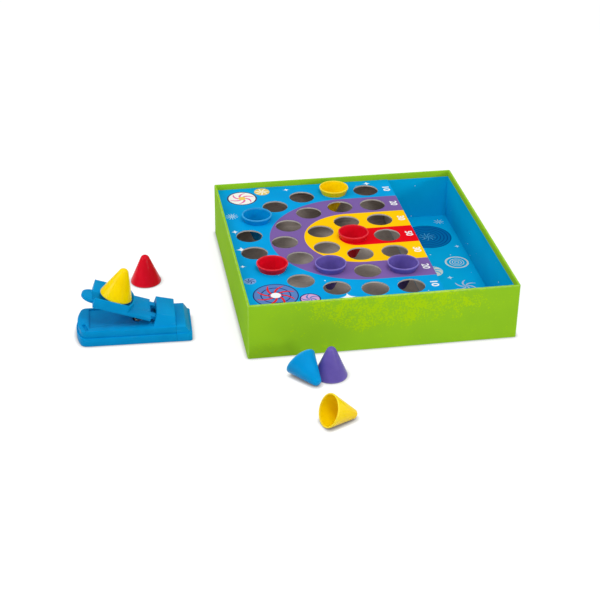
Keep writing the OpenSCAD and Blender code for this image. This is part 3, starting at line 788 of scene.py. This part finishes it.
def soften(node, name, width, body):
    """Stands a copy with rounded edges in for a moulding."""
    piece = nodes[node].copy()
    piece.data = nodes[node].data.copy()
    piece.name = name
    piece.parent = None
    del piece["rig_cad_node"]
    del piece["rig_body"]
    bpy.context.scene.collection.objects.link(piece)
    edit(piece)
    bpy.ops.mesh.select_all(action="SELECT")
    bpy.ops.mesh.remove_doubles(threshold=0.000002)
    bpy.ops.mesh.customdata_custom_splitnormals_clear()
    bpy.ops.mesh.dissolve_limited(angle_limit=math.radians(1.0))
    close_edit()
    apply_modifier(
        piece,
        "BEVEL",
        width=width,
        segments=2,
        limit_method="ANGLE",
        angle_limit=math.radians(32),
        miter_outer="MITER_ARC",
        use_clamp_overlap=True,
    )
    smooth(piece, 30)
    dress(piece, blue_plastic)
    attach(piece, body)
    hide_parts(node)


soften("catapult_tray", "moulded_tray", 0.0004, "catapult")
soften("catapult_shell", "moulded_shell", 0.0004, "catapult")
soften("end_cap", "moulded_end_cap", 0.0004, "catapult")

# Launching arm
# One blue moulding with a cupped pocket for a cone, a finger tab at its free end and two
# barrels that turn on the hinge pin.
soften("launch_arm", "moulded_arm", 0.0005, "arm")

# Hinge pin
# A drawn steel pin with chamfered ends, pushed in from the back through housing and arm.
catapult_frame = Matrix.Translation((-0.2921, -0.089, 0)) @ Matrix.Rotation(math.radians(-2.2), 4, "Z")
hinge_place = Vector((0.077, 0.02475, 0.018))
pin_r = 0.0015
pin_front = 0.00775
pin_back = 0.04375

drawn_steel, steel_tree, steel_shader, steel_point = start_finish("drawn_steel", Metallic=1.0)
steel_long = wire(steel_tree, "ShaderNodeMapping", {"Vector": steel_point, "Scale": (1600, 120, 1600)})
steel_line = wire(
    steel_tree, "ShaderNodeTexNoise", {"Vector": steel_long.outputs[0], "Scale": 1.0, "Detail": 4.0}
)
steel_colour = blend(steel_tree, steel_line.outputs[0], ink(150, 152, 156), ink(205, 206, 208))
steel_tree.links.new(steel_colour, steel_shader.inputs["Base Color"])
steel_rough = calc(steel_tree, "MULTIPLY_ADD", steel_line.outputs[0], 0.22, 0.2)
steel_tree.links.new(steel_rough, steel_shader.inputs["Roughness"])
raise_surface(steel_tree, steel_shader, steel_line.outputs[0], 0.00001, 0.5)

bpy.ops.object.select_all(action="DESELECT")
bpy.ops.mesh.primitive_cylinder_add(vertices=48, radius=pin_r, depth=pin_back - pin_front)
pin = bpy.context.object
pin.name = "steel_hinge_pin"
edit(pin)
pick(pin, "EDGE", lambda middle, along, bend: abs(along.z) < 0.1 and bend > 1)
bpy.ops.mesh.bevel(offset=0.0003, segments=2, affect="EDGES")
close_edit()
smooth(pin, 35)
settle(
    pin,
    catapult_frame
    @ Matrix.Translation((hinge_place.x, (pin_front + pin_back) / 2, hinge_place.z))
    @ Matrix.Rotation(math.pi / 2, 4, "X"),
)
dress(pin, drawn_steel)
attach(pin, "catapult")
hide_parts("hinge_pin")

# Return spring
# Seven turns of 0.9 mm spring wire stand on a seat in the tray and push the arm up. Under
# the pressed arm they end a little low, clear of its slanting underside.
spring_place = Vector((0.0565, 0.02475, 0))
spring_foot = 0.0052
spring_top = 0.02323
wire_r = 0.00045
coil_r = 0.00405
spring_turns = 7
bpy.ops.object.select_all(action="DESELECT")
bpy.ops.mesh.primitive_circle_add(
    vertices=10, radius=wire_r, location=(coil_r, 0, spring_foot + wire_r), rotation=(math.pi / 2, 0, 0)
)
spring = bpy.context.object
spring.name = "steel_return_spring"
settle(spring)
apply_modifier(
    spring,
    "SCREW",
    axis="Z",
    angle=2 * math.pi,
    iterations=spring_turns,
    steps=32,
    render_steps=32,
    screw_offset=(spring_top - spring_foot - 2 * wire_r) / spring_turns,
    use_merge_vertices=True,
)
edit(spring)
bpy.ops.mesh.select_all(action="SELECT")
bpy.ops.mesh.remove_doubles(threshold=0.000001)
bpy.ops.mesh.select_mode(type="EDGE")
bpy.ops.mesh.select_all(action="DESELECT")
bpy.ops.mesh.select_non_manifold(extend=False)
bpy.ops.mesh.edge_face_add()
bpy.ops.mesh.select_all(action="SELECT")
bpy.ops.mesh.normals_make_consistent(inside=False)
close_edit()
smooth(spring, 50)
settle(spring, catapult_frame @ Matrix.Translation(spring_place))
dress(spring, drawn_steel)
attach(spring, "catapult")
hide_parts("return_spring")
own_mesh(spring)

# Case screws
# Four small self-tapping screws with pan heads and cross recesses go up through the
# tray into the shell's posts.
screw_head_r = 0.0026
screw_head_z = 0.0005
screw_head_t = 0.0017
screw_ring = 0.0013
thread_count = 6
thread_flank = 0.00035
thread_root = 0.0002
thread_share = 0.84
screw_point = 0.0008
bpy.ops.object.select_all(action="DESELECT")
bpy.ops.mesh.primitive_cylinder_add(
    vertices=40, radius=screw_head_r, depth=screw_head_t, location=(0, 0, screw_head_z + screw_head_t / 2)
)
screw = bpy.context.object
screw.name = "case_screw_1"
settle(screw)
edit(screw)
pick(screw, "FACE", lambda middle, normal: normal.z > 0.9)
bpy.ops.mesh.inset(thickness=screw_ring, depth=0)
for thread_step in range(thread_count):
    bpy.ops.mesh.extrude_region_move(TRANSFORM_OT_translate={"value": (0, 0, thread_flank)})
    bpy.ops.transform.resize(value=(thread_share, thread_share, 1))
    bpy.ops.mesh.extrude_region_move(TRANSFORM_OT_translate={"value": (0, 0, thread_root)})
    bpy.ops.mesh.extrude_region_move(TRANSFORM_OT_translate={"value": (0, 0, thread_flank)})
    bpy.ops.transform.resize(value=(1 / thread_share, 1 / thread_share, 1))
bpy.ops.mesh.extrude_region_move(TRANSFORM_OT_translate={"value": (0, 0, screw_point)})
bpy.ops.transform.resize(value=(0.25, 0.25, 1))
pick(
    screw,
    "EDGE",
    lambda middle, along, bend: middle.z < screw_head_z + 1e-6 and bend > 1,
)
bpy.ops.mesh.bevel(offset=0.0006, segments=4, affect="EDGES")
close_edit()
recess_size = (0.0028, 0.0006, 0.002)
for recess_turn in (0, math.pi / 2):
    bpy.ops.object.select_all(action="DESELECT")
    bpy.ops.mesh.primitive_cube_add(
        size=1, location=(0, 0, screw_head_z), rotation=(0, 0, recess_turn), scale=recess_size
    )
    recess = bpy.context.object
    apply_modifier(screw, "BOOLEAN", operation="DIFFERENCE", solver="EXACT", object=recess)
    bpy.data.objects.remove(recess)
smooth(screw, 35)
for number_of, screw_x, screw_y in (
    (1, 0.005, 0.01275),
    (2, 0.005, 0.03675),
    (3, 0.0655, 0.01275),
    (4, 0.0655, 0.03675),
):
    copied = screw.copy()
    copied.data = screw.data.copy()
    copied.name = "steel_screw_" + str(number_of)
    bpy.context.scene.collection.objects.link(copied)
    settle(copied, catapult_frame @ Matrix.Translation((screw_x, screw_y, 0)))
    dress(copied, drawn_steel)
    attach(copied, "catapult")
    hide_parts("case_screws")
bpy.data.objects.remove(screw)

# Cones
# Eleven hollow cones, moulded in glossy red, yellow, violet and blue plastic, with a
# rounded tip and an upright lip round the mouth. A paler ink near the mouth paints a highlight on their
# thin lips.
cone_r = 0.016
cone_high = 0.031
tip_r = 0.005
cone_wall = 0.0012
lip_high = 0.0012
tip_z = cone_high - tip_r
side_rise = tip_z - lip_high
side_angle = math.acos(tip_r / math.hypot(cone_r, side_rise)) - math.atan2(side_rise, cone_r)
edge_r = 0.45 * cone_wall
shoulder_r = 0.0004
bore_edge_r = 0.0002
bore_r = cone_r - cone_wall / math.cos(side_angle)


def arc(middle_r, middle_z, radius, start, stop, steps):
    """Points of a round part of the cone's section."""
    turns = [start + (stop - start) * step / steps for step in range(steps + 1)]
    return [(middle_r + radius * math.cos(turn), middle_z + radius * math.sin(turn)) for turn in turns]


cone_section = arc(0, tip_z, tip_r, math.pi / 2, side_angle, 9)
cone_section += arc(cone_r - shoulder_r, lip_high - 0.00005, shoulder_r, side_angle, 0, 3)
cone_section += arc(cone_r - edge_r, edge_r, edge_r, 0, -math.pi / 2, 5)
cone_section += arc(bore_r + bore_edge_r, bore_edge_r, bore_edge_r, -math.pi / 2, -math.pi, 3)
cone_section += [(bore_r, lip_high)]
cone_section += arc(0, tip_z, tip_r - cone_wall, side_angle, math.pi / 2, 7)

bpy.ops.object.select_all(action="DESELECT")
bpy.ops.mesh.primitive_plane_add(size=0.001, location=(0, 0, 0))
cone = bpy.context.object
cone.name = "cone_pattern"
edit(cone)
bpy.ops.mesh.select_all(action="SELECT")
bpy.ops.mesh.merge(type="CENTER")
bpy.ops.mesh.select_mode(type="VERT")
bpy.ops.mesh.select_all(action="SELECT")
bpy.ops.transform.translate(value=(cone_section[0][0], 0, cone_section[0][1]))
for before, after in zip(cone_section, cone_section[1:]):
    step = (after[0] - before[0], 0, after[1] - before[1])
    bpy.ops.mesh.extrude_vertices_move(TRANSFORM_OT_translate={"value": step})
bpy.ops.mesh.select_all(action="SELECT")
bpy.ops.mesh.spin(steps=96, angle=2 * math.pi, center=(0, 0, 0), axis=(0, 0, 1))
bpy.ops.mesh.select_all(action="SELECT")
bpy.ops.mesh.remove_doubles(threshold=0.000002)
bpy.ops.mesh.normals_make_consistent(inside=False)
close_edit()
smooth(cone, 35)
cone_map = cone.data.uv_layers.new(name="cone_map")
for corner in cone.data.loops:
    spot = cone.data.vertices[corner.vertex_index].co
    cone_map.data[corner.index].uv = (math.hypot(spot.x, spot.y) / cone_r, spot.z / cone_high)

cone_inks = {}
for cone_colour, cone_deep, cone_light, cone_lip_highlight in (
    ("red", ink(212, 10, 32), ink(224, 18, 42), ink(244, 84, 96)),
    ("yellow", ink(246, 206, 0), ink(252, 217, 2), ink(255, 236, 90)),
    ("purple", ink(96, 82, 162), ink(109, 94, 176), ink(164, 146, 216)),
    ("blue", ink(0, 142, 206), ink(0, 153, 219), ink(104, 196, 240)),
):
    gloss, gloss_tree, gloss_shader, gloss_point = start_finish(
        cone_colour + "_gloss",
        **{
            "Specular IOR Level": 0.09,
            "Subsurface Weight": 0.35,
            "Subsurface Radius": (1, 1, 1),
            "Subsurface Scale": 0.002,
        }
    )
    gloss_skin = use_group(gloss_tree, moulded_skin, {"Point": gloss_point})
    gloss_tint = wire(
        gloss_tree, "ShaderNodeMapRange", {"Value": gloss_skin["Shade"], "From Min": 0.3, "From Max": 0.7}
    )
    gloss_colour = blend(gloss_tree, gloss_tint.outputs[0], cone_deep, cone_light)
    gloss_height = wire(gloss_tree, "ShaderNodeUVMap", {}, uv_map="cone_map").outputs[0]
    gloss_height = wire(gloss_tree, "ShaderNodeSeparateXYZ", {0: gloss_height}).outputs[1]
    # A paler ink over the cone's lowest part, near the mouth, inside and out: a painted highlight on the
    # lip.
    gloss_lip_highlight = wire(
        gloss_tree,
        "ShaderNodeMapRange",
        {"Value": gloss_height, "From Min": 0.065, "From Max": 0.02, "To Max": 0.28},
    )
    gloss_colour = blend(gloss_tree, gloss_lip_highlight.outputs[0], gloss_colour, cone_lip_highlight)
    gloss_tree.links.new(gloss_colour, gloss_shader.inputs["Base Color"])
    gloss_rough = calc(gloss_tree, "MULTIPLY_ADD", gloss_skin["Shade"], 0.08, 0.13)
    gloss_rough = calc(gloss_tree, "MULTIPLY_ADD", gloss_skin["Rub"], 0.1, gloss_rough)
    gloss_tree.links.new(gloss_rough, gloss_shader.inputs["Roughness"])
    raise_surface(gloss_tree, gloss_shader, gloss_skin["Height"], 0.00002, 0.5)
    cone_inks[cone_colour] = gloss

hang_z = 0.059951
turned_over = Matrix.Rotation(math.pi, 4, "X")


def in_ring(ring, place):
    """A cone hanging tip down in a hole of a ring."""
    turn = math.pi / 2 - math.pi * place / (3 * ring)
    away = ring * pitch
    spot = (pattern_x - away * math.cos(turn), away * math.sin(turn), hang_z)
    return Matrix.Translation(spot) @ turned_over


def lying(x, y, degrees):
    """A cone lying on its side, tip away from its mouth's middle."""
    height = cone_r * math.cos(side_angle) + lip_high * math.sin(side_angle)
    turn = Matrix.Rotation(math.radians(degrees), 4, "Z")
    return Matrix.Translation((x, y, height)) @ turn @ Matrix.Rotation(math.pi / 2 + side_angle, 4, "Y")


arm_tilt = 19.4
arm_lip = 0.0105
pocket_away = 0.0475
pocket_deep = 0.009
trough_r = 0.0215139
seat_half = 0.0162
pocket_rise = arm_lip - pocket_deep + trough_r
loaded_place = (
    catapult_frame
    @ Matrix.Translation(hinge_place)
    @ Matrix.Rotation(math.radians(arm_tilt), 4, "Y")
    @ Matrix.Translation((-pocket_away, 0, pocket_rise - math.sqrt(trough_r ** 2 - seat_half ** 2)))
)
for cone_name, cone_place in (
    ("cone_yellow_loaded", loaded_place),
    ("cone_yellow_back", in_ring(3, 0)),
    ("cone_yellow_lying", lying(-0.0784, -0.2545, 15)),
    ("cone_red_standing", Matrix.Translation((-0.2208, 0.0342, 0))),
    ("cone_red_middle", Matrix.Translation((pattern_x, 0, hang_z)) @ turned_over),
    ("cone_red_left", in_ring(3, 6)),
    ("cone_purple_standing", Matrix.Translation((-0.0607, -0.1743, 0))),
    ("cone_purple_left", in_ring(2, 5)),
    ("cone_purple_right", Matrix.Translation((pattern_x + pitch, -2 * pitch, hang_z)) @ turned_over),
    ("cone_blue_lying", lying(-0.0895, -0.1688, -61)),
    ("cone_blue_left", in_ring(3, 3)),
):
    moulded = cone.copy()
    moulded.data = cone.data.copy()
    moulded.name = "moulded_" + cone_name
    bpy.context.scene.collection.objects.link(moulded)
    settle(moulded, cone_place)
    cone_colour = cone_name.split("_")[1]
    dress(moulded, cone_inks[cone_colour])
    cone_body = next(
        body for body, held in frame["record"]["behaviour"]["bodies"].items() if cone_name in held
    )
    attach(moulded, cone_body)
    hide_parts(cone_name)
bpy.data.objects.remove(cone)
